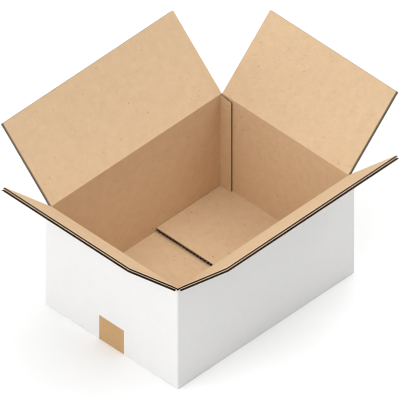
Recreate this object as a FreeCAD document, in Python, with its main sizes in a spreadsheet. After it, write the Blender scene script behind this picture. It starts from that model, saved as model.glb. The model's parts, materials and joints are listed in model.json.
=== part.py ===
import FreeCAD, Part
import Sketcher
import os

# A slotted carton of double-wall corrugated board, standing open.
#
# X runs along the long walls, Y across the short ones, Z up; the origin is the centre of the
# underside. The folded blank is one piece: four walls, a glue tab and four bottom flaps. Its four
# top flaps swing on their creases, so each is a body of its own. A strip of tape closes the
# bottom seam and turns up both short walls.
#
# In-line scores fold at two depths. An end flap hinges on the outer liner and closes below the
# fold line; a side flap hinges on the inner liner and closes above it, so the side flaps come to
# lie on the end flaps.

doc = FreeCAD.newDocument("Carton")


# ---------------------------------------------------------------- driving dimensions

SIZES = [
    # the folded box
    ("inner_length", 400.0),
    ("inner_width", 293.0),
    ("wall_height", 212.5),      # underside of the board to the inner fold line
    ("fold_radius", 3.0),        # outside of a folded edge
    # double-wall board
    ("board", 7.0),
    ("liner", 0.35),
    ("medium", 0.45),            # fluted paper
    ("outer_flute", 3.5),        # height of the coarse flute, behind the outer liner
    ("outer_pitch", 7.9),
    ("inner_pitch", 6.4),
    # top flaps
    ("flap_length", 159.0),      # on the inner face, from the inner fold line
    ("flap_open", 45.0),         # lean outwards from upright
    ("slot_clearance", 0.5),     # beside every flap
    ("side_crease_margin", 2.6), # crushed band of a side flap, past the board's thickness
    ("end_crease_margin", 0.4),  # crushed band of an end flap, past the glued wall
    ("crush_run_out", 3.0),      # from the crushed band to where the flutes are open
    # hinge edges
    ("hinge_edge", 0.3),         # thickness of the crushed board at the hinge line
    ("hinge_gap", 0.15),         # from the crushed flap to the wall's top, at the hinge line
    ("lip_slope", 13.0),         # how the crushed board thickens
    ("side_relief", 30.0),       # slope of a long wall's top, outwards
    ("end_relief", 16.0),        # slope of a short wall's top, inwards
    # bottom flaps
    ("end_flap_reach", 154.0),   # from the short wall's inner face
    ("seam_gap", 0.5),
    ("layer_gap", 0.3),
    # glue tab
    ("tab_width", 24.5),
    ("tab_thickness", 3.8),      # crushed under glue
    ("tab_clearance", 0.58),     # below the closed end flap, at the corner
    ("tab_top_taper", 2.2),
    ("tab_foot", 1.5),           # above the floor, at the corner
    ("tab_foot_taper", 5.0),
    # tape
    ("tape_width", 57.0),
    ("tape_rise", 52.5),         # up each short wall
    ("tape_thickness", 0.1),
]


def fill_sheet():
    """Write each driving dimension as a plain number with an alias."""
    sheet = doc.addObject("Spreadsheet::Sheet", "Sizes")
    for row, (alias, value) in enumerate(SIZES, start=1):
        sheet.set(f"A{row}", alias)
        sheet.set(f"B{row}", str(value))
        sheet.setAlias(f"B{row}", alias)
    doc.recompute()
    return sheet


fill_sheet()


# ---------------------------------------------------------------- derived sizes

BOARD = "Sizes.board"
HALF_LENGTH = "Sizes.inner_length / 2"
HALF_WIDTH = "Sizes.inner_width / 2"
OUTER_HALF_LENGTH = f"({HALF_LENGTH} + {BOARD})"
OUTER_HALF_WIDTH = f"({HALF_WIDTH} + {BOARD})"

FLOOR = "Sizes.tape_thickness"                              # underside of the board
INNER_FOLD = f"({FLOOR} + Sizes.wall_height)"               # hinge line of the side flaps
FOLD_FALL = f"{BOARD} * tan(Sizes.flap_open / 2)"           # inner fold line to outer fold line
OUTER_FOLD = f"({INNER_FOLD} - {FOLD_FALL})"                # hinge line of the end flaps
END_LAYER = f"({FLOOR} + {BOARD} + Sizes.layer_gap)"        # underside of the bottom end flaps
INSIDE_FLOOR = f"({END_LAYER} + {BOARD})"

SIDE_FLAP_WIDTH = "(Sizes.inner_length - 2 * Sizes.slot_clearance)"
END_FLAP_WIDTH = "(Sizes.inner_width - 2 * Sizes.slot_clearance)"
END_FLAP_LENGTH = f"(Sizes.flap_length - {FOLD_FALL})"      # from its hinge line
GLUED_WALL = f"({BOARD} + Sizes.tab_thickness)"
END_CREASE = f"({GLUED_WALL} + Sizes.end_crease_margin)"
SIDE_CREASE = f"({BOARD} + Sizes.side_crease_margin)"
HINGE_DROP = "(Sizes.hinge_edge + Sizes.hinge_gap)"         # a hinge line down to the wall's top
LIP_OVER_TAB = f"(Sizes.hinge_edge + ({GLUED_WALL} - Sizes.hinge_edge) * tan(Sizes.lip_slope))"
TAB_DROP = f"({FOLD_FALL} + {LIP_OVER_TAB} + Sizes.tab_clearance)"
INNER_FLUTE = f"({BOARD} - 3 * Sizes.liner - Sizes.outer_flute)"
MIDDLE_LINER = "(Sizes.liner + Sizes.outer_flute)"          # its outer side, from the outer face


# ---------------------------------------------------------------- modelling helpers

def new_body(label):
    body = doc.addObject("PartDesign::Body", label)
    body.Label = label
    return body


def origin_plane(body, role):
    return next(item for item in body.Origin.OriginFeatures if item.Role == role)


def number(owner, expression):
    value = owner.evalExpression(expression)
    return float(getattr(value, "Value", value))


def new_sketch(body, name, role, height="0"):
    """A sketch on one of the body's own origin planes, lifted along its normal by height."""
    sketch = body.newObject("Sketcher::SketchObject", name)
    sketch.AttachmentSupport = [(origin_plane(body, role), "")]
    sketch.MapMode = "FlatFace"
    sketch.setExpression("AttachmentOffset.Base.z", height)
    return sketch


def pin_point(sketch, edge, end, across=None, up=None):
    """Hold one end of a sketch edge at (across, up), expressions of which either may be left out."""
    for kind, expression, axis in (("DistanceX", across, -2), ("DistanceY", up, -1)):
        if expression is None:
            continue
        if expression == "0":
            sketch.addConstraint(Sketcher.Constraint("PointOnObject", edge, end, axis))
            continue
        value = number(sketch, expression)
        index = sketch.addConstraint(Sketcher.Constraint(kind, -1, 1, edge, end, value))
        sketch.setExpression(f"Constraints[{index}]", expression)


def add_outline(sketch, corners):
    """A closed polygon through corners, each an (across, up) pair of expressions."""
    points = [FreeCAD.Vector(number(sketch, x), number(sketch, y), 0) for x, y in corners]
    edges = []
    for index, point in enumerate(points):
        following = points[(index + 1) % len(points)]
        edges.append(sketch.addGeometry(Part.LineSegment(point, following), False))
    for index, edge in enumerate(edges):
        following = edges[(index + 1) % len(edges)]
        sketch.addConstraint(Sketcher.Constraint("Coincident", edge, 2, following, 1))
        pin_point(sketch, edge, 1, *corners[index])


def add_rectangle(sketch, left, right, low, high):
    add_outline(sketch, [(left, low), (right, low), (right, high), (left, high)])


def pad(body, name, sketch, length, symmetric=False):
    feature = body.newObject("PartDesign::Pad", name)
    feature.Profile = sketch
    feature.SideType = "Symmetric" if symmetric else "One side"
    feature.setExpression("Length", length)
    doc.recompute()
    return feature


def pocket(body, name, sketch, length, symmetric=False, reverse=False):
    """Cut the sketch out of the body and make sure that it took material away."""
    before = body.Shape.Volume
    feature = body.newObject("PartDesign::Pocket", name)
    feature.Profile = sketch
    feature.SideType = "Symmetric" if symmetric else "One side"
    feature.Reversed = reverse
    feature.setExpression("Length", length)
    doc.recompute()
    if feature.Shape.Volume >= before:
        raise RuntimeError(f"{name} cut nothing")
    return feature


def mirror(body, name, feature, role):
    """Repeat a feature on the other side of an origin plane."""
    copy = body.newObject("PartDesign::Mirrored", name)
    copy.Originals = [feature]
    copy.MirrorPlane = (origin_plane(body, role), [""])
    body.Tip = copy
    doc.recompute()
    return copy


def fillet(body, name, feature, radius, wanted):
    """Round every straight edge of a feature that wanted(start, end) picks."""
    names = []
    for index, edge in enumerate(feature.Shape.Edges, start=1):
        ends = [vertex.Point for vertex in edge.Vertexes]
        if len(ends) == 2 and wanted(*ends):
            names.append(f"Edge{index}")
    rounding = body.newObject("PartDesign::Fillet", name)
    rounding.Base = (feature, names)
    rounding.setExpression("Radius", radius)
    doc.recompute()
    return rounding


# ---------------------------------------------------------------- carton body

def near(value, target):
    return abs(value - target) < 1e-4


def build_walls(body):
    """The rectangular tube, its outer edges rounded as folds, and one corner left as a cut edge."""
    plan = new_sketch(body, "WallPlan", "XY_Plane", FLOOR)
    add_rectangle(plan, f"-{OUTER_HALF_LENGTH}", OUTER_HALF_LENGTH,
                  f"-{OUTER_HALF_WIDTH}", OUTER_HALF_WIDTH)
    add_rectangle(plan, f"-{HALF_LENGTH}", HALF_LENGTH, f"-{HALF_WIDTH}", HALF_WIDTH)
    walls = pad(body, "Walls", plan, "Sizes.wall_height")

    half_length = number(body, OUTER_HALF_LENGTH)
    half_width = number(body, OUTER_HALF_WIDTH)
    floor = number(body, FLOOR)

    def on_outside(point):
        return near(abs(point.x), half_length) or near(abs(point.y), half_width)

    def folded(start, end):
        if near(start.z, floor) and near(end.z, floor):
            return on_outside(start) and on_outside(end)
        upright = near(start.x, end.x) and near(start.y, end.y)
        outer_corner = near(abs(start.x), half_length) and near(abs(start.y), half_width)
        joint_corner = start.x > 0 and start.y > 0
        return upright and outer_corner and not joint_corner

    fillet(body, "Folds", walls, "Sizes.fold_radius", folded)


def build_joint_seam(body):
    """Where the long wall folds in behind the short wall's cut edge, its round fold shows."""
    sketch = new_sketch(body, "SeamPlan", "XY_Plane", FLOOR)
    centre_x = f"({HALF_LENGTH} - Sizes.fold_radius)"
    centre_y = f"({OUTER_HALF_WIDTH} - Sizes.fold_radius)"
    centre = FreeCAD.Vector(number(sketch, centre_x), number(sketch, centre_y), 0)
    corner = FreeCAD.Vector(number(sketch, HALF_LENGTH), number(sketch, OUTER_HALF_WIDTH), 0)
    fold_side = FreeCAD.Vector(corner.x, centre.y, 0)
    fold_top = FreeCAD.Vector(centre.x, corner.y, 0)
    circle = Part.Circle(centre, FreeCAD.Vector(0, 0, 1), corner.x - centre.x)
    quarter = Part.ArcOfCircle(circle, circle.parameter(fold_side), circle.parameter(fold_top))
    top = sketch.addGeometry(Part.LineSegment(fold_top, corner), False)
    side = sketch.addGeometry(Part.LineSegment(corner, fold_side), False)
    fold = sketch.addGeometry(quarter, False)
    for first, following in ((top, side), (side, fold), (fold, top)):
        sketch.addConstraint(Sketcher.Constraint("Coincident", first, 2, following, 1))
    sketch.addConstraint(Sketcher.Constraint("Vertical", side))
    pin_point(sketch, fold, 3, centre_x, centre_y)
    pin_point(sketch, top, 2, HALF_LENGTH, OUTER_HALF_WIDTH)
    pin_point(sketch, fold, 1, up=centre_y)
    pin_point(sketch, fold, 2, across=centre_x)
    pocket(body, "JointSeam", sketch, "Sizes.wall_height + 1", reverse=True)


def build_raw_edge(body):
    """The short wall's cut edge runs along its flutes, so it opens one cell of each lengthwise."""
    sketch = new_sketch(body, "RawEdgePlan", "XY_Plane", FLOOR)
    past = f"({OUTER_HALF_WIDTH} + 1)"
    outer_face = f"({OUTER_HALF_LENGTH} - Sizes.liner)"
    inner_face = f"({HALF_LENGTH} + Sizes.liner)"
    outer_depth = f"({OUTER_HALF_WIDTH} - Sizes.outer_pitch / 2 + Sizes.medium)"
    inner_depth = f"({OUTER_HALF_WIDTH} - Sizes.inner_pitch / 2 + Sizes.medium)"
    add_rectangle(sketch, f"{outer_face} - Sizes.outer_flute", outer_face, outer_depth, past)
    add_rectangle(sketch, inner_face, f"{inner_face} + {INNER_FLUTE}", inner_depth, past)
    pocket(body, "RawEdge", sketch, "Sizes.wall_height + 1", reverse=True)


def build_bottom(body):
    """Two side flaps on the outside, meeting at the seam, and two end flaps folded in on them."""
    overlap = 1
    outer = new_sketch(body, "BottomSidePlan", "XY_Plane", FLOOR)
    side_half = f"({SIDE_FLAP_WIDTH} / 2)"
    edge = "Sizes.seam_gap / 2"
    add_rectangle(outer, f"-{side_half}", side_half, edge, f"{HALF_WIDTH} + {overlap}")
    add_rectangle(outer, f"-{side_half}", side_half, f"-({HALF_WIDTH} + {overlap})", f"-{edge}")
    pad(body, "BottomSideFlaps", outer, BOARD)

    inner = new_sketch(body, "BottomEndPlan", "XY_Plane", END_LAYER)
    end_half = f"({END_FLAP_WIDTH} / 2)"
    tip = f"({HALF_LENGTH} - Sizes.end_flap_reach)"
    root = f"({HALF_LENGTH} + {overlap})"
    add_rectangle(inner, tip, root, f"-{end_half}", end_half)
    add_rectangle(inner, f"-{root}", f"-{tip}", f"-{end_half}", end_half)
    pad(body, "BottomEndFlaps", inner, BOARD)


def build_glue_tab(body):
    """The tab runs on from the long wall and is glued inside the short one, its ends tapered."""
    overlap = 1
    sketch = new_sketch(body, "TabOutline", "YZ_Plane", f"{HALF_LENGTH} - Sizes.tab_thickness")
    free_edge = f"{HALF_WIDTH} - Sizes.tab_width"
    root = f"{HALF_WIDTH} + {overlap}"
    foot = f"{INSIDE_FLOOR} + Sizes.tab_foot"
    top = f"{INNER_FOLD} - {TAB_DROP}"
    add_outline(sketch, [
        (root, foot),
        (root, top),
        (HALF_WIDTH, top),
        (free_edge, f"{top} - Sizes.tab_top_taper"),
        (free_edge, f"{foot} + Sizes.tab_foot_taper"),
        (HALF_WIDTH, foot),
    ])
    pad(body, "GlueTab", sketch, f"Sizes.tab_thickness + {overlap}")


def build_wall_tops(body):
    """Mitre each wall's top for the leaning flap, then crush it back along the flap's width."""
    past = 1
    over = f"({INNER_FOLD} + {past})"

    def across(slope):
        return f"({BOARD} + {past}) * tan({slope})"

    # Long walls: the top falls outwards from the inner fold line.
    plans = (
        ("SideMitre", "0", "Sizes.flap_open / 2", "Sizes.inner_length + 2 * Sizes.board + 2"),
        ("SideRelief", HINGE_DROP, "Sizes.side_relief", "Sizes.inner_length"),
    )
    for name, drop, slope, length in plans:
        sketch = new_sketch(body, name + "Section", "YZ_Plane")
        start = f"({INNER_FOLD} - {drop})"
        end = f"{start} - {across(slope)}"
        add_outline(sketch, [
            (HALF_WIDTH, start),
            (f"{OUTER_HALF_WIDTH} + {past}", end),
            (f"{OUTER_HALF_WIDTH} + {past}", over),
            (HALF_WIDTH, over),
        ])
        cut = pocket(body, name, sketch, length, symmetric=True)
        mirror(body, name + "Other", cut, "XZ_Plane")

    # Short walls: mitred the same way, then relieved inwards from the outer fold line.
    sketch = new_sketch(body, "EndMitreSection", "XZ_Plane")
    add_outline(sketch, [
        (HALF_LENGTH, INNER_FOLD),
        (f"{OUTER_HALF_LENGTH} + {past}", f"{INNER_FOLD} - {across('Sizes.flap_open / 2')}"),
        (f"{OUTER_HALF_LENGTH} + {past}", over),
        (HALF_LENGTH, over),
    ])
    cut = pocket(body, "EndMitre", sketch, "Sizes.inner_width + 2 * Sizes.board + 2", symmetric=True)
    mirror(body, "EndMitreOther", cut, "YZ_Plane")

    sketch = new_sketch(body, "EndReliefSection", "XZ_Plane")
    start = f"({OUTER_FOLD} - {HINGE_DROP})"
    add_outline(sketch, [
        (f"{HALF_LENGTH} - {past}", f"{start} - {across('Sizes.end_relief')}"),
        (OUTER_HALF_LENGTH, start),
        (f"{OUTER_HALF_LENGTH} + {past}", start),
        (f"{OUTER_HALF_LENGTH} + {past}", over),
        (f"{HALF_LENGTH} - {past}", over),
    ])
    cut = pocket(body, "EndRelief", sketch, "Sizes.inner_width", symmetric=True)
    mirror(body, "EndReliefOther", cut, "YZ_Plane")


def build_carton_body():
    body = new_body("carton_body")
    build_walls(body)
    build_joint_seam(body)
    build_raw_edge(body)
    build_bottom(body)
    build_glue_tab(body)
    build_wall_tops(body)
    return body


# ---------------------------------------------------------------- top flaps

def cut_flutes(body, name, start, end, pitch, low, height, width):
    """Rows of open cells above and below a fluted paper, from start to past the flap's tip.

    A cell is a trapezoid, its wide side on the liner. The rows begin on one side edge and end
    on the other, so that both side edges cut a cell open along its length.
    """
    count = f"round({width} / {pitch})"
    step = f"({width} / {count})"
    crest = f"{step} / 8"
    foot = f"({step} / 2 - {step} / 8 - Sizes.medium * sqrt(2))"
    left = f"-{width} / 2"
    right_neighbour = f"({left} + {step} / 2)"
    sketch = new_sketch(body, name + "Cells", "YZ_Plane", start)
    add_outline(sketch, [
        (f"{left} - {crest}", f"{low} + Sizes.medium"),
        (f"{left} + {crest}", f"{low} + Sizes.medium"),
        (f"{left} + {foot}", f"{low} + {height}"),
        (f"{left} - {foot}", f"{low} + {height}"),
    ])
    add_outline(sketch, [
        (f"{right_neighbour} - {foot}", low),
        (f"{right_neighbour} + {foot}", low),
        (f"{right_neighbour} + {crest}", f"{low} + {height} - Sizes.medium"),
        (f"{right_neighbour} - {crest}", f"{low} + {height} - Sizes.medium"),
    ])
    cells = pocket(body, name, sketch, f"{end} - {start} + 1", reverse=True)
    row = body.newObject("PartDesign::LinearPattern", name + "Row")
    row.Originals = [cells]
    row.Direction = (sketch, ["H_Axis"])
    row.setExpression("Length", width)
    row.setExpression("Occurrences", f"{count} + 1")
    before = body.Shape.Volume
    body.Tip = row
    doc.recompute()
    if row.Shape.Volume >= before:
        raise RuntimeError(f"{name}Row cut nothing")


def build_flap(label, width, length, crease, outer_face, hinge_at, turn):
    """One top flap, drawn level with its hinge line on Y, its tip at +X and its inner face up.

    outer_face is the height of the outer liner's face over the hinge line: zero for a flap that
    hinges on its outer liner, minus the board for one that hinges on its inner liner.
    """
    body = new_body(label)
    hinges_outside = outer_face == "0"
    inner_face = BOARD if hinges_outside else "0"
    hinge_face = outer_face if hinges_outside else inner_face
    far_face = inner_face if hinges_outside else outer_face
    sign = "" if hinges_outside else "-"
    edge = "Sizes.hinge_edge"
    lip = f"{sign}({edge} + ({crease} - {edge}) * tan(Sizes.lip_slope))"
    section = new_sketch(body, "Section", "XZ_Plane")
    add_outline(section, [
        (edge, hinge_face),
        (length, hinge_face),
        (length, far_face),
        (crease, far_face),
        (crease, lip),
        (edge, f"{sign}{edge}"),
    ])
    pad(body, "Board", section, width, symmetric=True)

    flute_start = f"({crease} + Sizes.crush_run_out)"
    outer_low = f"({outer_face} + Sizes.liner)"
    inner_low = f"({outer_face} + {MIDDLE_LINER} + Sizes.liner)"
    cut_flutes(body, "OuterFlute", flute_start, length, "Sizes.outer_pitch",
               outer_low, "Sizes.outer_flute", width)
    cut_flutes(body, "InnerFlute", flute_start, length, "Sizes.inner_pitch",
               inner_low, INNER_FLUTE, width)

    along_x, along_y, height = hinge_at
    lean = "rotation(vector(0; 1; 0); Sizes.flap_open - 90)"
    body.setExpression("Placement", (
        f"placement(vector({along_x}; {along_y}; {height});"
        f" rotation(vector(0; 0; 1); {turn}) * {lean})"
    ))
    doc.recompute()
    return body


def build_flaps():
    """Two end flaps on the short walls and two side flaps on the long walls."""
    end_flap = (END_FLAP_WIDTH, END_FLAP_LENGTH, END_CREASE, "0")
    side_flap = (SIDE_FLAP_WIDTH, "Sizes.flap_length", SIDE_CREASE, f"-{BOARD}")
    return [
        build_flap("end_flap_right", *end_flap, (OUTER_HALF_LENGTH, "0", OUTER_FOLD), 0),
        build_flap("end_flap_left", *end_flap, (f"-{OUTER_HALF_LENGTH}", "0", OUTER_FOLD), 180),
        build_flap("side_flap_back", *side_flap, ("0", HALF_WIDTH, INNER_FOLD), 90),
        build_flap("side_flap_front", *side_flap, ("0", f"-{HALF_WIDTH}", INNER_FOLD), -90),
    ]


# ---------------------------------------------------------------- bottom tape

def build_tape():
    """Tape over the bottom seam, turned up both short walls round their folds."""
    body = new_body("bottom_tape")
    half_width = "Sizes.tape_width / 2"
    reach = f"({OUTER_HALF_LENGTH} + Sizes.tape_thickness)"
    plan = new_sketch(body, "Plan", "XY_Plane")
    add_rectangle(plan, f"-{reach}", reach, f"-{half_width}", half_width)
    pad(body, "Block", plan, "Sizes.tape_rise")

    hollow_plan = new_sketch(body, "HollowPlan", "XY_Plane", "Sizes.tape_thickness")
    add_rectangle(hollow_plan, f"-{OUTER_HALF_LENGTH}", OUTER_HALF_LENGTH,
                  f"-{half_width} - 1", f"{half_width} + 1")
    hollow = pocket(body, "Hollow", hollow_plan, "Sizes.tape_rise", reverse=True)

    thickness = number(body, "Sizes.tape_thickness")

    def inside_turn(start, end):
        level = near(start.z, thickness) and near(end.z, thickness)
        return level and near(start.x, end.x)

    def outside_turn(start, end):
        return near(start.z, 0) and near(end.z, 0) and near(start.x, end.x)

    inner = fillet(body, "InnerTurn", hollow, "Sizes.fold_radius", inside_turn)
    fillet(body, "OuterTurn", inner, "Sizes.fold_radius + Sizes.tape_thickness", outside_turn)
    return body


# ---------------------------------------------------------------- check and export

def check_document():
    doc.recompute()
    for item in doc.Objects:
        if "Invalid" in item.State or "Error" in item.State:
            raise RuntimeError(f"{item.Label} failed: {item.State}")


def export_parts(bodies):
    for body in bodies:
        shape = body.Shape
        if shape.isNull() or not shape.isValid():
            raise RuntimeError(f"{body.Label} has no valid shape")
        if len(shape.Solids) != 1:
            raise RuntimeError(f"{body.Label} is {len(shape.Solids)} solids")
    os.makedirs("parts", exist_ok=True)
    for body in bodies:
        body.Shape.exportStep(f"parts/{body.Label}.step")
        print(f"{body.Label}: {body.Shape.Volume / 1000:.1f} cm3")


pieces = [build_carton_body(), *build_flaps(), build_tape()]
check_document()
export_parts(pieces)
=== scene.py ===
import json
from math import cos, pi, radians, sin, tan

import bmesh
import bpy
from mathutils import Matrix, Vector


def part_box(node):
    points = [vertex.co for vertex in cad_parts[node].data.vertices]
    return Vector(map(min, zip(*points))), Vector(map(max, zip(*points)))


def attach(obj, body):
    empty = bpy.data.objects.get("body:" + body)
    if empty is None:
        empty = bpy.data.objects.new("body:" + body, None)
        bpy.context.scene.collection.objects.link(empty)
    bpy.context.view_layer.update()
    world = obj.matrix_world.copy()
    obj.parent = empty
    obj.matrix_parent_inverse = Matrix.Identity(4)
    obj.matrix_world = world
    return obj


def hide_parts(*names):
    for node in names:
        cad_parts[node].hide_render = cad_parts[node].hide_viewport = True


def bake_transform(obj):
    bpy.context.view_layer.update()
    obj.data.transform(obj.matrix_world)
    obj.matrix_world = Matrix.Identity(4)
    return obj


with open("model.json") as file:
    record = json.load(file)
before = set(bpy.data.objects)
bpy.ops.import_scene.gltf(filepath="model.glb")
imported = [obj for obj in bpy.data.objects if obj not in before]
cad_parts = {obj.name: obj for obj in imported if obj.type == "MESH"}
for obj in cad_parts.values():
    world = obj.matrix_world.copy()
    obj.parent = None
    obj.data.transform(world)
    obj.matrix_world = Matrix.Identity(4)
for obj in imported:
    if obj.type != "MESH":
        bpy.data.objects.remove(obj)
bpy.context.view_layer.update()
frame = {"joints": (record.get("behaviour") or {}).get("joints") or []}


# ------------------------------------------------------------------ outer liner of the walls
# One sheet of white-topped paper, the outside of the blank, folded round three upright corners
# and under the bottom. At the fourth corner the long wall folds in behind the short wall's cut
# edge. The top is notched for the flaps, and the bottom slit at the ends and along its seam.

crease_at = {joint["name"]: Vector(joint["pos_m"]) for joint in frame["joints"]}
inner_y, inner_fold = crease_at["side_back_crease"].yz      # fold line on the inner liner
outer_x = crease_at["end_right_crease"].x
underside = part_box("carton_body")[0].z
outer_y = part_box("carton_body")[1].y
board = outer_y - inner_y               # thickness of the whole board
inner_x = outer_x - board
lean = -radians(frame["joints"][0]["range_deg"][0] + 90)    # of an open flap, out from upright
side_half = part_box("side_flap_back")[1].x                   # half a long flap's width
end_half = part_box("end_flap_right")[1].y                    # half a short flap's width
coarse_pitch = 0.0079                   # of the flutes next to the outer liner
liner = 0.00035                         # thickness of each flat sheet
fold_radius = 0.0018                    # outside a fold of the blank
fold_steps = 5
crease_reach = 0.014                    # from the inner fold line to the flat board
panel_top = inner_fold - crease_reach   # where a wall's crease begins
half_way = (inner_fold + underside) / 2
seam = 0.00025                          # half the slit between the two long bottom flaps
nibble = (0.6, 0.6, 1)                  # the way that the nibbled corner at the joint faces
hair = 1e-5                             # two places this close are one
facing = 0.9                            # from this share of its normal on, a face faces that way
sharp_turn = radians(40)                # an edge that turns more than this stays sharp


def node(tree, kind, **settings):
    """A new node, with each setting put on the socket of that name or else on the node."""
    made = tree.nodes.new(kind)
    for name, value in settings.items():
        if name in made.inputs:
            made.inputs[name].default_value = value
        else:
            setattr(made, name, value)
    return made


def new_group(name, inputs, outputs):
    """An empty node group, with what it is given and where its results go."""
    group = bpy.data.node_groups.new(name, "ShaderNodeTree")
    for socket, kind in inputs:
        group.interface.new_socket(socket, in_out="INPUT", socket_type=kind)
    for socket, kind in outputs:
        group.interface.new_socket(socket, in_out="OUTPUT", socket_type=kind)
    return group, node(group, "NodeGroupInput").outputs, node(group, "NodeGroupOutput").inputs


# Pulp: cloudy formation and short fibres lying every way. A fine grain is in the height alone.
pulp, given, result = new_group(
    "pulp",
    [("Position", "NodeSocketVector"), ("Cloud", "NodeSocketFloat"), ("Fibre", "NodeSocketFloat")],
    [("Shade", "NodeSocketFloat"), ("Height", "NodeSocketFloat")],
)
cloud = node(pulp, "ShaderNodeTexNoise", Scale=60.0, Detail=6.0, Roughness=0.68)
spread = node(pulp, "ShaderNodeMapRange")
spread.inputs["From Min"].default_value = 0.25
spread.inputs["From Max"].default_value = 0.75
grain = node(pulp, "ShaderNodeTexNoise", Scale=900.0, Detail=2.0, Roughness=0.6)
pulp.links.new(given["Position"], cloud.inputs["Vector"])
pulp.links.new(given["Position"], grain.inputs["Vector"])
fibres = None
for turn in ((0.3, 0.2, 0.9), (1.2, 2.1, 0.4), (2.3, 0.9, 1.7)):
    stretch = node(pulp, "ShaderNodeMapping", Rotation=turn, Scale=(620.0, 110.0, 620.0))
    strand = node(pulp, "ShaderNodeTexNoise", Scale=1.0, Detail=1.0)
    thin = node(pulp, "ShaderNodeMapRange", interpolation_type="SMOOTHSTEP")
    thin.inputs["From Min"].default_value = 0.60
    thin.inputs["From Max"].default_value = 0.74
    pulp.links.new(given["Position"], stretch.inputs["Vector"])
    pulp.links.new(stretch.outputs["Vector"], strand.inputs["Vector"])
    pulp.links.new(strand.outputs["Fac"], thin.inputs["Value"])
    if fibres is None:
        fibres = thin.outputs["Result"]
    else:
        both = node(pulp, "ShaderNodeMath", operation="MAXIMUM")
        pulp.links.new(fibres, both.inputs[0])
        pulp.links.new(thin.outputs["Result"], both.inputs[1])
        fibres = both.outputs["Value"]
clouded = node(pulp, "ShaderNodeMath", operation="MULTIPLY")
pulp.links.new(cloud.outputs["Fac"], spread.inputs["Value"])
pulp.links.new(spread.outputs["Result"], clouded.inputs[0])
pulp.links.new(given["Cloud"], clouded.inputs[1])
fibred = node(pulp, "ShaderNodeMath", operation="MULTIPLY_ADD")
pulp.links.new(fibres, fibred.inputs[0])
pulp.links.new(given["Fibre"], fibred.inputs[1])
pulp.links.new(clouded.outputs["Value"], fibred.inputs[2])
pulp.links.new(fibred.outputs["Value"], result["Shade"])
raised = node(pulp, "ShaderNodeMath", operation="ADD")
pulp.links.new(fibres, raised.inputs[0])
pulp.links.new(grain.outputs["Fac"], raised.inputs[1])
pulp.links.new(raised.outputs["Value"], result["Height"])

# Washboard: a liner sinks a little between the flute tips that it is glued to.
washboard, given, result = new_group(
    "washboard",
    [("Across", "NodeSocketVector"), ("Pitch", "NodeSocketFloat")],
    [("Height", "NodeSocketFloat")],
)
split = node(washboard, "ShaderNodeSeparateXYZ")
waves = node(washboard, "ShaderNodeMath", operation="DIVIDE")
phase = node(washboard, "ShaderNodeMath", operation="MULTIPLY")
crest = node(washboard, "ShaderNodeMath", operation="COSINE")
phase.inputs[1].default_value = 2 * pi
washboard.links.new(given["Across"], split.inputs["Vector"])
washboard.links.new(split.outputs["X"], waves.inputs[0])
washboard.links.new(given["Pitch"], waves.inputs[1])
washboard.links.new(waves.outputs["Value"], phase.inputs[0])
washboard.links.new(phase.outputs["Value"], crest.inputs[0])
washboard.links.new(crest.outputs["Value"], result["Height"])


def colour_sockets(mix):
    """A colour Mix node's factor, its two colours and its result."""
    return mix.inputs[0], mix.inputs[6], mix.inputs[7], mix.outputs[2]


def new_paper(name, light, dark, roughness, cloud_share, fibre_share, pitch=None):
    """A paper between two shades, mottled and fibred, over flutes of that pitch."""
    paper = bpy.data.materials.new(name)
    paper.use_nodes = True
    tree = paper.node_tree
    shader = tree.nodes["Principled BSDF"]
    shader.inputs["Roughness"].default_value = roughness
    shader.inputs["Specular IOR Level"].default_value = 0.25
    place = node(tree, "ShaderNodeTexCoord")
    body = node(tree, "ShaderNodeGroup", node_tree=pulp)
    body.inputs["Cloud"].default_value = cloud_share
    body.inputs["Fibre"].default_value = fibre_share
    factor, first, second, mixed = colour_sockets(node(tree, "ShaderNodeMix", data_type="RGBA"))
    first.default_value = (*light, 1)
    second.default_value = (*dark, 1)
    tooth = node(tree, "ShaderNodeBump", Strength=0.35, Distance=0.00006)
    tree.links.new(place.outputs["Object"], body.inputs["Position"])
    tree.links.new(body.outputs["Shade"], factor)
    tree.links.new(mixed, shader.inputs["Base Color"])
    tree.links.new(body.outputs["Height"], tooth.inputs["Height"])
    tree.links.new(tooth.outputs["Normal"], shader.inputs["Normal"])
    if pitch:
        ribs = node(tree, "ShaderNodeGroup", node_tree=washboard)
        ribs.inputs["Pitch"].default_value = pitch
        dip = node(tree, "ShaderNodeBump", Strength=1.0, Distance=0.000012)
        tree.links.new(place.outputs["UV"], ribs.inputs["Across"])
        tree.links.new(ribs.outputs["Height"], dip.inputs["Height"])
        tree.links.new(dip.outputs["Normal"], tooth.inputs["Normal"])
    return paper


white_liner = new_paper("white_liner", (0.792, 0.787, 0.777), (0.748, 0.743, 0.733),
                        roughness=0.62, cloud_share=0.5, fibre_share=0.10, pitch=coarse_pitch)
kraft_back = new_paper("kraft_back", (0.50, 0.32, 0.19), (0.40, 0.25, 0.14),
                       roughness=0.85, cloud_share=0.8, fibre_share=0.3)
SHEET_FINISHES = [white_liner, kraft_back]
SHEET_FRONT, SHEET_BACK = range(len(SHEET_FINISHES))


def add_board_uv(bm):
    """The board's own directions, in metres: U across the flutes and V along them."""
    uv = bm.loops.layers.uv.new("Board")
    bm.normal_update()
    for face in bm.faces:
        faces_end = abs(face.normal.x) > abs(face.normal.y)
        for loop in face.loops:
            at = loop.vert.co
            loop[uv].uv = (at.y if faces_end else at.x, at.z)


def make_piece(name, bm, finishes):
    """Turns a shape into a visible piece, smooth but for its sharp edges."""
    mesh = bpy.data.meshes.new(name)
    bm.to_mesh(mesh)
    bm.free()
    for finish in finishes:
        mesh.materials.append(finish)
    mesh.shade_smooth()
    mesh.set_sharp_from_angle(angle=sharp_turn)
    piece = bpy.data.objects.new(name, mesh)
    bpy.context.scene.collection.objects.link(piece)
    return piece


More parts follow.
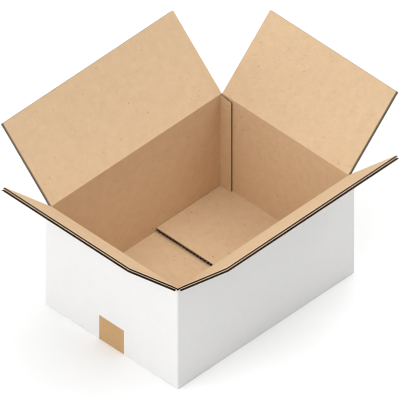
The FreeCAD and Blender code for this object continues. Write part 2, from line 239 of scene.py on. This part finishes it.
def add_block(bm, size, centre):
    """A plain block of that size round that centre."""
    place = Matrix.Translation(centre) @ Matrix.Diagonal((*size, 1))
    return bmesh.ops.create_cube(bm, matrix=place)["verts"]


def round_folds(bm, edges, radius):
    """Rounds the edges where the blank is folded."""
    bmesh.ops.bevel(bm, geom=edges, offset=radius, offset_type="OFFSET", segments=fold_steps,
                    profile=0.5, affect="EDGES", material=-1)


def cut(bm, co, no, clear=False, fill=False):
    """Cuts all along the plane through co; clear removes the side that no points to."""
    made = bmesh.ops.bisect_plane(bm, geom=bm.verts[:] + bm.edges[:] + bm.faces[:], dist=1e-7,
                                  plane_co=co, plane_no=no, clear_outer=clear)
    if fill:
        rim = [g for g in made["geom_cut"] if isinstance(g, bmesh.types.BMEdge)]
        bmesh.ops.holes_fill(bm, edges=rim, sides=0)


def cut_joint_corner(bm, fill=False):
    """At the joint the slot is nibbled deeper, so that its corner falls away outwards."""
    cut(bm, (inner_x, inner_y, inner_fold), nibble, clear=True, fill=fill)


def cut_mitres(bm, fill=False):
    """The four wall tops slope down and out from the inner fold line, by half the flaps' lean."""
    fall = tan(lean / 2)
    for side in (-1, 1):
        cut(bm, (side * inner_x, 0, inner_fold), (side * fall, 0, 1), clear=True, fill=fill)
        cut(bm, (0, side * inner_y, inner_fold), (0, side * fall, 1), clear=True, fill=fill)


bm = bmesh.new()
add_block(bm, (2 * outer_x, 2 * outer_y, inner_fold - underside), (0, 0, half_way))
bmesh.ops.delete(bm, geom=[f for f in bm.faces if f.normal.z > facing], context="FACES_ONLY")


def is_fold(edge):
    """All edges of the box, apart from the rim and the upright one at the joint."""
    low, high = sorted(v.co.z for v in edge.verts)
    joint = all(v.co.x > 0 and v.co.y > 0 for v in edge.verts)
    return low < half_way and not (joint and high > half_way)


round_folds(bm, [e for e in bm.edges if is_fold(e)], fold_radius)

joint_x, joint_y = inner_x - fold_radius, outer_y - fold_radius
cut(bm, (joint_x, 0, 0), (1, 0, 0))
bm.normal_update()
beyond = [f for f in bm.faces if f.normal.y > 0.1 and f.calc_center_median().x > joint_x]
bmesh.ops.delete(bm, geom=beyond, context="FACES")
end_line = [e for e in bm.edges if e.is_boundary
            and all(abs(v.co.x - joint_x) < hair and v.co.y > joint_y - hair for v in e.verts)]
bmesh.ops.spin(bm, geom=end_line, cent=(joint_x, joint_y, 0), axis=(0, 0, 1), angle=-pi / 2,
               steps=fold_steps, use_merge=False, use_duplicate=False)
bmesh.ops.remove_doubles(bm, verts=bm.verts[:], dist=1e-6)

for side in (-1, 1):
    cut(bm, (side * side_half, 0, 0), (1, 0, 0))
    cut(bm, (side * inner_x, 0, 0), (1, 0, 0))
    cut(bm, (0, side * end_half, 0), (0, 1, 0))
    cut(bm, (0, side * inner_y, 0), (0, 1, 0))
    cut(bm, (0, side * seam, 0), (0, 1, 0))
cut(bm, (0, 0, panel_top), (0, 0, 1))


def is_cut_away(face):
    """The notches for the flaps, and in the bottom the seam and the slits at its ends."""
    at = face.calc_center_median()
    x, y = abs(at.x), abs(at.y)
    if at.z > panel_top:
        joint = at.x > joint_x and at.y > joint_y and at.x < inner_x + hair
        return joint or (x < side_half and y > inner_y) or (y < end_half and x > inner_x)
    slit = side_half < x < inner_x and y < inner_y
    return at.z < underside + hair and (slit or (y < seam and x < side_half))


bmesh.ops.delete(bm, geom=[f for f in bm.faces if is_cut_away(f)], context="FACES")
cut_mitres(bm)
cut_joint_corner(bm)
bmesh.ops.recalc_face_normals(bm, faces=bm.faces[:])
bm.normal_update()
outside = set(bm.faces)
bmesh.ops.solidify(bm, geom=bm.faces[:], thickness=liner)
for face in bm.faces:
    shows = any(other in outside for vert in face.verts for other in vert.link_faces)
    face.material_index = SHEET_FRONT if shows else SHEET_BACK
add_board_uv(bm)
walls = make_piece("outer_liner", bm, SHEET_FINISHES)
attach(walls, "carton")
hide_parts("carton_body")


# ------------------------------------------------------------------ inner liner of the walls
# The inside of the blank, a sheet of plain brown kraft paper. It lines the four walls from the
# bottom flaps up to the creases, and its four corners are sharp.

fine_pitch = 0.0064                     # of the flutes next to the inner liner

# Specks: bits of bark in the pulp, of every size and strength up to the largest, none quite round.
specks, given, result = new_group(
    "specks", [("Position", "NodeSocketVector")], [("Mask", "NodeSocketFloat")]
)
turned = node(specks, "ShaderNodeMapping", Rotation=(0.4, 0.3, 0.7), Scale=(1.0, 0.45, 0.65))
bent = node(specks, "ShaderNodeTexNoise", Scale=500.0, Detail=1.0)
shift = node(specks, "ShaderNodeVectorMath", operation="MULTIPLY_ADD")
wander = 0.0012                         # of a speck's outline
shift.inputs[1].default_value = (wander, wander, wander)
cells = node(specks, "ShaderNodeTexVoronoi", Scale=190.0)
choice = node(specks, "ShaderNodeSeparateColor")
radius = node(specks, "ShaderNodeMapRange")
radius.inputs["From Min"].default_value = 0.55      # share of the places that stay clean
radius.inputs["To Min"].default_value = 0.0
radius.inputs["To Max"].default_value = 0.19
inside = node(specks, "ShaderNodeMath", operation="SUBTRACT")
soft = node(specks, "ShaderNodeMapRange", interpolation_type="SMOOTHSTEP")
soft.inputs["From Min"].default_value = 0.0
soft.inputs["From Max"].default_value = 0.03
faint = node(specks, "ShaderNodeMath", operation="MULTIPLY")
specks.links.new(given["Position"], turned.inputs["Vector"])
specks.links.new(turned.outputs["Vector"], bent.inputs["Vector"])
specks.links.new(bent.outputs["Color"], shift.inputs[0])
specks.links.new(turned.outputs["Vector"], shift.inputs[2])
specks.links.new(shift.outputs["Vector"], cells.inputs["Vector"])
specks.links.new(cells.outputs["Color"], choice.inputs["Color"])
specks.links.new(choice.outputs["Red"], radius.inputs["Value"])
specks.links.new(radius.outputs["Result"], inside.inputs[0])
specks.links.new(cells.outputs["Distance"], inside.inputs[1])
specks.links.new(inside.outputs["Value"], soft.inputs["Value"])
specks.links.new(soft.outputs["Result"], faint.inputs[0])
specks.links.new(choice.outputs["Green"], faint.inputs[1])
specks.links.new(faint.outputs["Value"], result["Mask"])

kraft_liner = new_paper("kraft_liner", (0.706, 0.513, 0.323), (0.598, 0.422, 0.257),
                        roughness=0.78, cloud_share=0.7, fibre_share=0.5, pitch=fine_pitch)
tree = kraft_liner.node_tree
colour = tree.nodes["Principled BSDF"].inputs["Base Color"]
dirt = node(tree, "ShaderNodeGroup", node_tree=specks)
factor, first, second, mixed = colour_sockets(node(tree, "ShaderNodeMix", data_type="RGBA"))
second.default_value = (0.25, 0.13, 0.06, 1)
amount = node(tree, "ShaderNodeMath", operation="MULTIPLY")
darkest_speck = 0.85                    # how much of the bark's own colour it shows
amount.inputs[1].default_value = darkest_speck
tree.links.new(tree.nodes["Texture Coordinate"].outputs["Object"], dirt.inputs["Position"])
tree.links.new(dirt.outputs["Mask"], amount.inputs[0])
tree.links.new(amount.outputs["Value"], factor)
tree.links.new(colour.links[0].from_socket, first)
tree.links.new(mixed, colour)

bm = bmesh.new()
add_block(bm, (2 * inner_x, 2 * inner_y, inner_fold - underside - board),
          (0, 0, (inner_fold + underside + board) / 2))
bmesh.ops.delete(bm, geom=[f for f in bm.faces if abs(f.normal.z) > facing], context="FACES_ONLY")
for side in (-1, 1):
    cut(bm, (side * side_half, 0, 0), (1, 0, 0))
    cut(bm, (0, side * end_half, 0), (0, 1, 0))
cut(bm, (0, 0, panel_top), (0, 0, 1))


def is_notch(face):
    """What is cut away for the flaps."""
    at = face.calc_center_median()
    return at.z > panel_top and (abs(at.x) < side_half and abs(at.y) > end_half
                                 or abs(at.y) < end_half and abs(at.x) > side_half)


bmesh.ops.delete(bm, geom=[f for f in bm.faces if is_notch(f)], context="FACES")
bmesh.ops.reverse_faces(bm, faces=bm.faces[:])
bm.normal_update()
bmesh.ops.solidify(bm, geom=bm.faces[:], thickness=liner)
add_board_uv(bm)
lining = make_piece("inner_liner", bm, [kraft_liner])
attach(lining, "carton")


# ------------------------------------------------------------------ corner posts
# Between two flaps the slot stops at the crease line and leaves the folded corner of the wall.
# Its outer half is crushed tight and white over its top. Its inner half is a solid block painted
# near-black, painted shade where the fine flute shows inside that.

flute = 0.0033                          # height of the coarse flutes
middle_at = liner + flute               # the middle liner, from the outer face
post_lap = 0.00005                      # of a post's outer half, into the outer liner
post_drop = 0.0012                      # of a post's inner half, below the mitre
spare = 0.001                           # above the mitre, to be cut off

# Flute paper painted near-black: painted shade for the dim insides of the flute cells, far darker
# than the brown paper itself.
shaded_fluting = new_paper("shaded_fluting", (0.022, 0.011, 0.005), (0.012, 0.006, 0.003),
                    roughness=0.9, cloud_share=0.8, fibre_share=0.4)


def fill_corner(bm, near, far, low, high):
    """An L of the wall at the +X, +Y corner, between two distances from its inner faces.

    It gives back the upright edge on the outside.
    """
    plan = [(inner_x + near, end_half), (inner_x + far, end_half), (inner_x + far, inner_y + far),
            (side_half, inner_y + far), (side_half, inner_y + near),
            (inner_x + near, inner_y + near)]
    foot = bm.faces.new([bm.verts.new((x, y, low)) for x, y in plan])
    made = bmesh.ops.extrude_face_region(bm, geom=[foot])["geom"]
    bmesh.ops.translate(bm, vec=(0, 0, high - low),
                        verts=[g for g in made if isinstance(g, bmesh.types.BMVert)])
    return [e for e in bm.edges if abs(e.verts[0].co.z - e.verts[1].co.z) > hair
            and e.verts[0].co.x > inner_x + far - hair and e.verts[0].co.y > inner_y + far - hair]


row_inside, row_outside = liner, board - middle_at      # of the fine flute, from the inner faces
for name, side_x, side_y in (("post_near", -1, -1), ("post_right", 1, -1), ("post_left", -1, 1)):
    for part, near, far, drop in (("outer", row_outside, board - liner + post_lap, 0),
                                  ("inner", row_inside, row_outside, post_drop)):
        bm = bmesh.new()
        fold = fill_corner(bm, near, far, underside + fold_radius, inner_fold + spare)
        if part == "outer":
            round_folds(bm, fold, fold_radius - liner)
        bmesh.ops.scale(bm, vec=(side_x, side_y, 1), verts=bm.verts)
        bmesh.ops.recalc_face_normals(bm, faces=bm.faces[:])
        bmesh.ops.translate(bm, vec=(0, 0, drop), verts=bm.verts)
        cut_mitres(bm, fill=True)
        bmesh.ops.translate(bm, vec=(0, 0, -drop), verts=bm.verts)
        add_board_uv(bm)
        # The inner half is painted with the flutes' painted shade.
        post = make_piece(f"{name}_{part}", bm, [white_liner if part == "outer" else shaded_fluting])
        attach(post, "carton")


# ------------------------------------------------------------------ the joint's cut edge
# At the fourth corner the short wall ends in a cut along its flutes, so that each row stands
# open from top to bottom. The inner row of the board is the finer flute.

medium = 0.00045                        # fluted paper
middle_thick = 0.0008
wave_steps = 12                         # flat strips in each flute

# A paler copy of the painted flute shade, painted as if lit, for the flutes' cut ends.
lit_fluting = new_paper("lit_fluting", (0.095, 0.056, 0.029), (0.068, 0.040, 0.021),
                        roughness=0.9, cloud_share=0.8, fibre_share=0.4)
middle_liner = new_paper("middle_liner", (0.80, 0.66, 0.52), (0.70, 0.56, 0.42),
                         roughness=0.85, cloud_share=0.8, fibre_share=0.3)
BOARD_FINISHES = [white_liner, kraft_liner, shaded_fluting, middle_liner, kraft_back, lit_fluting]
WHITE, KRAFT, SHADED_FLUTING, MIDDLE, BACK, LIT_FLUTING = range(len(BOARD_FINISHES))


def add_plate(bm, width, start, end, low, thick, outer, inner, edge):
    """A flat liner, X across the flutes and Y along them, with the finish of each side."""
    plate = add_block(bm, (width, end - start, thick), (0, (start + end) / 2, low + thick / 2))
    for face in {f for v in plate for f in v.link_faces}:
        face.normal_update()
        up = face.normal.z
        face.material_index = inner if up > facing else outer if up < -facing else edge


def add_flutes(bm, width, start, end, low, height, pitch, thick):
    """A fluted paper between two liners, low at its sides, so that each shows an open cell.

    Its cut ends are painted a paler brown, as lit, and the paper inside the cells near-black, as
    painted shade.
    """
    waves = max(1, round(width / pitch))
    sheet = bmesh.ops.create_grid(bm, x_segments=wave_steps * waves, y_segments=1,
                                  size=0.5)["verts"]
    bmesh.ops.scale(bm, vec=(width, end - start, 1), verts=sheet)
    bmesh.ops.translate(bm, vec=(0, (start + end) / 2, low + thick), verts=sheet)
    for vert in sheet:
        turn = 2 * pi * waves * (vert.co.x / width + 0.5)
        vert.co.z += (height - thick) * (1 - cos(turn)) / 2
    faces = list({f for v in sheet for f in v.link_faces})
    for face in faces:
        face.material_index = SHADED_FLUTING
    bm.normal_update()
    bmesh.ops.solidify(bm, geom=faces, thickness=thick)
    for face in {f for v in sheet for f in v.link_faces}:
        face.normal_update()
        if abs(face.normal.y) > facing:
            face.material_index = LIT_FLUTING


def add_core(bm, width, start, end, crush=1.0, middle_edge=MIDDLE):
    """Coarse flutes, middle liner, fine flutes and the inner liner, crushed to a share.

    The fluted paper itself gives less than the room round it.
    """
    high = board * crush - liner
    middle = liner + flute * crush
    paper = medium * min(1, crush + 0.2)
    add_flutes(bm, width, start, end, liner, flute * crush, coarse_pitch, paper)
    add_plate(bm, width, start, end, middle, middle_thick * crush, MIDDLE, MIDDLE, middle_edge)
    middle += middle_thick * crush
    add_flutes(bm, width, start, end, middle, high - middle, fine_pitch, paper)
    # The inner liner's cut edge is painted with the flutes' painted shade.
    add_plate(bm, width, start, end, high, liner, BACK, KRAFT, SHADED_FLUTING)


def lay_uv(bm):
    """The same directions for a flat panel: X runs across its flutes and Y along them."""
    uv = bm.loops.layers.uv.new("Board")
    for face in bm.faces:
        for loop in face.loops:
            loop[uv].uv = loop.vert.co.xy


def stand_up(bm, outer, middle):
    """Stands a flat panel up, with its outer face at that X and its middle at that Y."""
    bm.transform(Matrix(((0, 0, -1, outer), (1, 0, 0, middle), (0, 1, 0, 0), (0, 0, 0, 1))))


bm = bmesh.new()
width = outer_y - end_half
add_core(bm, width, underside + fold_radius, inner_fold)
lay_uv(bm)
stand_up(bm, outer_x, end_half + width / 2)
bmesh.ops.reverse_faces(bm, faces=bm.faces[:])
cut_mitres(bm, fill=True)
cut_joint_corner(bm, fill=True)
bmesh.ops.recalc_face_normals(bm, faces=bm.faces[:])
# Its flute paper is painted near-black as shade in the open cells, and its cut ends get the paler
# lit copy.
cut_edge = make_piece("joint_edge", bm, BOARD_FINISHES)
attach(cut_edge, "carton")


# ------------------------------------------------------------------ glue tab
# The manufacturer's joint: a tab that runs on from the long wall, glued inside the short one
# and crushed to about half its thickness, so that its cut edges close up to plain brown paper.

layer_gap = 0.0003                      # between the two layers of the bottom
bottom_end = underside + board + layer_gap     # underside of the bottom end flaps
inside_floor = bottom_end + board
tab_width = 0.0245
tab_thick = 0.0038
tab_top = inner_fold - 0.0022
tab_top_taper = 0.0030                  # how much lower its top is at its free side
tab_foot = inside_floor + 0.0004

bm = bmesh.new()
crush = tab_thick / board
add_plate(bm, tab_width, tab_foot, tab_top, 0, liner, WHITE, BACK, BACK)
add_core(bm, tab_width, tab_foot, tab_top, crush, middle_edge=BACK)
for vert in bm.verts:
    if vert.co.y > inside_floor + board:
        vert.co.y -= tab_top_taper * (0.5 - vert.co.x / tab_width)
bm.normal_update()
for face in bm.faces:
    # Closed cut edges get plain brown; the rest, inside the cells too, get the paler lit copy of
    # the painted flute shade.
    if face.material_index in (SHADED_FLUTING, LIT_FLUTING):
        closed = face.normal.x < -facing or face.normal.y > facing
        face.material_index = BACK if closed else LIT_FLUTING
lay_uv(bm)
stand_up(bm, inner_x, inner_y - tab_width / 2)
bmesh.ops.recalc_face_normals(bm, faces=bm.faces[:])
tab = make_piece("glue_tab", bm, BOARD_FINISHES)
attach(tab, "carton")


# ------------------------------------------------------------------ bottom flaps
# Two long flaps close the outside and meet at the seam; their outer liner is the walls' own.
# The two end flaps lie over them inside, and their cut tips show the board's open flutes.

end_flap_reach = 0.154                  # from the short wall's inner face

for name, side in (("bottom_front", -1), ("bottom_back", 1)):
    bm = bmesh.new()
    add_core(bm, 2 * side_half, seam, inner_y)
    lay_uv(bm)
    bmesh.ops.translate(bm, vec=(0, 0, underside), verts=bm.verts)
    bmesh.ops.scale(bm, vec=(1, side, 1), verts=bm.verts)
    bmesh.ops.recalc_face_normals(bm, faces=bm.faces[:])
    flap = make_piece(name, bm, BOARD_FINISHES)
    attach(flap, "carton")

for name, turn in (("bottom_right", -pi / 2), ("bottom_left", pi / 2)):
    bm = bmesh.new()
    # The end flaps' outer liner and middle liner show their cut edges in the flutes' painted
    # shade.
    add_plate(bm, 2 * end_half, inner_x - end_flap_reach, inner_x, 0, liner, WHITE, BACK, SHADED_FLUTING)
    add_core(bm, 2 * end_half, inner_x - end_flap_reach, inner_x, middle_edge=SHADED_FLUTING)
    lay_uv(bm)
    bm.transform(Matrix.Translation((0, 0, bottom_end)) @ Matrix.Rotation(turn, 4, "Z"))
    flap = make_piece(name, bm, BOARD_FINISHES)
    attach(flap, "carton")


# ------------------------------------------------------------------ bottom tape
# A strip of brown paper packing tape over the bottom seam, turned up both short walls. It is
# stuck down flat, and follows the outer liner round its folds.

tape_paper = new_paper("tape_paper", (0.515, 0.318, 0.142), (0.485, 0.293, 0.128),
                       roughness=0.5, cloud_share=0.8, fibre_share=0.25)
tape_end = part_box("bottom_tape")[1]     # its outer face, side edge and upper end

bm = bmesh.new()
add_block(bm, (2 * outer_x, 2 * tape_end.y, tape_end.z - underside),
          (0, 0, (tape_end.z + underside) / 2))
bmesh.ops.delete(bm, geom=[f for f in bm.faces if abs(f.normal.y) > facing or f.normal.z > facing],
                 context="FACES")
round_folds(bm, [e for e in bm.edges if not e.is_boundary], fold_radius)
bmesh.ops.reverse_faces(bm, faces=bm.faces[:])
bm.normal_update()
bmesh.ops.solidify(bm, geom=bm.faces[:], thickness=tape_end.x - outer_x)
tape = make_piece("tape_strip", bm, [tape_paper])
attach(tape, "carton")
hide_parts("bottom_tape")


# ------------------------------------------------------------------ top flaps
# Four flaps of the same board, standing open: the short ones close first and the long ones over
# them. Their tips and side edges are cut, so both rows of flutes show all round.

tip_length = 0.159                      # from the inner fold line to the tip

# Each flap's body, its turn from the back one, half its width and its wall's outer face.
FLAPS = {
    "end_flap_right": ("end_right", -pi / 2, end_half, outer_x),
    "end_flap_left": ("end_left", pi / 2, end_half, outer_x),
    "side_flap_back": ("side_back", 0, side_half, outer_y),
    "side_flap_front": ("side_front", pi, side_half, outer_y),
}

for name, (body, turn, half, wall) in FLAPS.items():
    bm = bmesh.new()
    add_plate(bm, 2 * half, crease_reach, tip_length, 0, liner, WHITE, BACK, BACK)
    add_core(bm, 2 * half, crease_reach, tip_length)
    lay_uv(bm)
    fold = Matrix.Translation((0, wall - board, inner_fold))
    tilt = Matrix.Rotation(pi / 2 - lean, 4, "X")
    bm.transform(Matrix.Rotation(turn, 4, "Z") @ fold @ tilt @ Matrix.Translation((0, 0, -board)))
    flap = make_piece(name + "_board", bm, BOARD_FINISHES)
    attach(flap, body)
    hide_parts(name)


# ------------------------------------------------------------------ creases of the top flaps
# At each crease the flutes are crushed into solid rows between the three liners, which run on
# unbroken from wall to flap. An end flap turns on its outer liner and a side flap on its inner
# one. The strips are built at rest only and are fixed to no flap, so they do not buckle or
# stretch with it.

outer_fold = crease_at["end_right_crease"].z
fine_flute = board - middle_at - middle_thick - liner       # height of the fine flutes
row_short = 0.0002                      # of the crushed rows, in from the cut edge
crease_steps = 40
crowding = 1.6                          # draws the steps together towards the fold line


# Each layer's depth from the outer face, thickness, shortfall at its sides and finishes.
LAYERS = (
    ("outer", 0.0, liner, 0.0, SHEET_FINISHES),
    # The crushed rows are painted near-black: painted shade for the flute cells at the cut sides.
    ("coarse", liner, flute, row_short, [shaded_fluting]),
    ("middle", middle_at, middle_thick, 0.0, [middle_liner]),
    ("fine", middle_at + middle_thick, fine_flute, row_short, [shaded_fluting]),
    ("inner", board, liner, 0.0, [kraft_liner]),
)

for body, turn, half, wall in FLAPS.values():
    for layer, depth, thick, short, finishes in LAYERS:
        rise = depth * tan(lean / 2)
        reach = crease_reach - (board - depth) * tan(lean / 2)
        bm = bmesh.new()
        bmesh.ops.create_grid(bm, x_segments=1, y_segments=crease_steps, size=1)
        uv = bm.loops.layers.uv.new("Board")
        for vert in bm.verts:
            along = abs(vert.co.y) ** crowding * reach
            up, out = (along * cos(lean), along * sin(lean)) if vert.co.y > 0 else (-along, 0)
            vert.co = (vert.co.x * (half - short), wall - depth + out, outer_fold + rise + up)
        for face in bm.faces:
            for loop in face.loops:
                loop[uv].uv = (loop.vert.co.x, loop.vert.co.z)
        if layer != "inner":
            bmesh.ops.reverse_faces(bm, faces=bm.faces[:])
        bm.normal_update()
        front = set(bm.faces)
        bmesh.ops.solidify(bm, geom=bm.faces[:], thickness=thick)
        if layer == "outer":
            for face in bm.faces:
                face.material_index = SHEET_FRONT if face in front else SHEET_BACK
        bm.transform(Matrix.Rotation(turn, 4, "Z"))
        strip = make_piece(f"{body}_crease_{layer}", bm, finishes)
        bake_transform(strip)


# ------------------------------------------------------------------ floor, light and camera
# A plain white floor, a tent of soft white lamps round it, and a camera far off, so that it sees
# the carton without perspective.

scene = bpy.context.scene
scene.view_settings.view_transform = "Standard"
scene.cycles.filter_width = 1.0

bm = bmesh.new()
bmesh.ops.create_grid(bm, x_segments=1, y_segments=1, size=20)
floor = bpy.data.materials.new("floor")
floor.use_nodes = True
matt = floor.node_tree.nodes["Principled BSDF"].inputs
matt["Base Color"].default_value = (0.93, 0.93, 0.93, 1)
matt["Roughness"].default_value = 0.9
matt["Specular IOR Level"].default_value = 0.0
ground = make_piece("floor", bm, [floor])

world = bpy.data.worlds.new("sky")
scene.world = world
world.use_nodes = True
glow = world.node_tree.nodes["Background"].inputs
glow["Color"].default_value = (1, 1, 1, 1)
glow["Strength"].default_value = 0.05

# Wide soft lamps all round: direction from +X towards +Y and height in degrees, and strength.
lamp_width = radians(50)
LAMPS = [(180, 45, 1.15), (315, 45, 1.02), (135, 15, 1.36), (45, 15, 0.66), (225, 45, 0.40),
         (0, 75, 0.58), (0, 45, 0.52), (45, 45, 0.38), (180, 75, 0.30), (270, 75, 0.16)]
for turn, height, strength in LAMPS:
    sun = bpy.data.lights.new(f"lamp_{turn}_{height}", "SUN")
    sun.energy = strength
    sun.angle = lamp_width
    lamp = bpy.data.objects.new(sun.name, sun)
    around, above = radians(turn), radians(height)
    towards = Vector((cos(around) * cos(above), sin(around) * cos(above), sin(above)))
    lamp.rotation_euler = towards.to_track_quat("Z", "Y").to_euler()
    scene.collection.objects.link(lamp)

azimuth, elevation = radians(-45.36), radians(40.93)
aim_right, aim_up = 0.00016, 0.1453     # from the origin to the middle of the view
far_off = 3
camera = bpy.data.cameras.new("camera")
camera.type = "ORTHO"
camera.ortho_scale = 0.6586
camera.clip_end = 20
viewer = bpy.data.objects.new("camera", camera)
back = Vector((sin(azimuth) * cos(elevation), -cos(azimuth) * cos(elevation), sin(elevation)))
right = Vector((cos(azimuth), sin(azimuth), 0))
viewer.rotation_euler = back.to_track_quat("Z", "Y").to_euler()
viewer.location = aim_right * right + aim_up * back.cross(right) + far_off * back
scene.collection.objects.link(viewer)
scene.camera = viewer
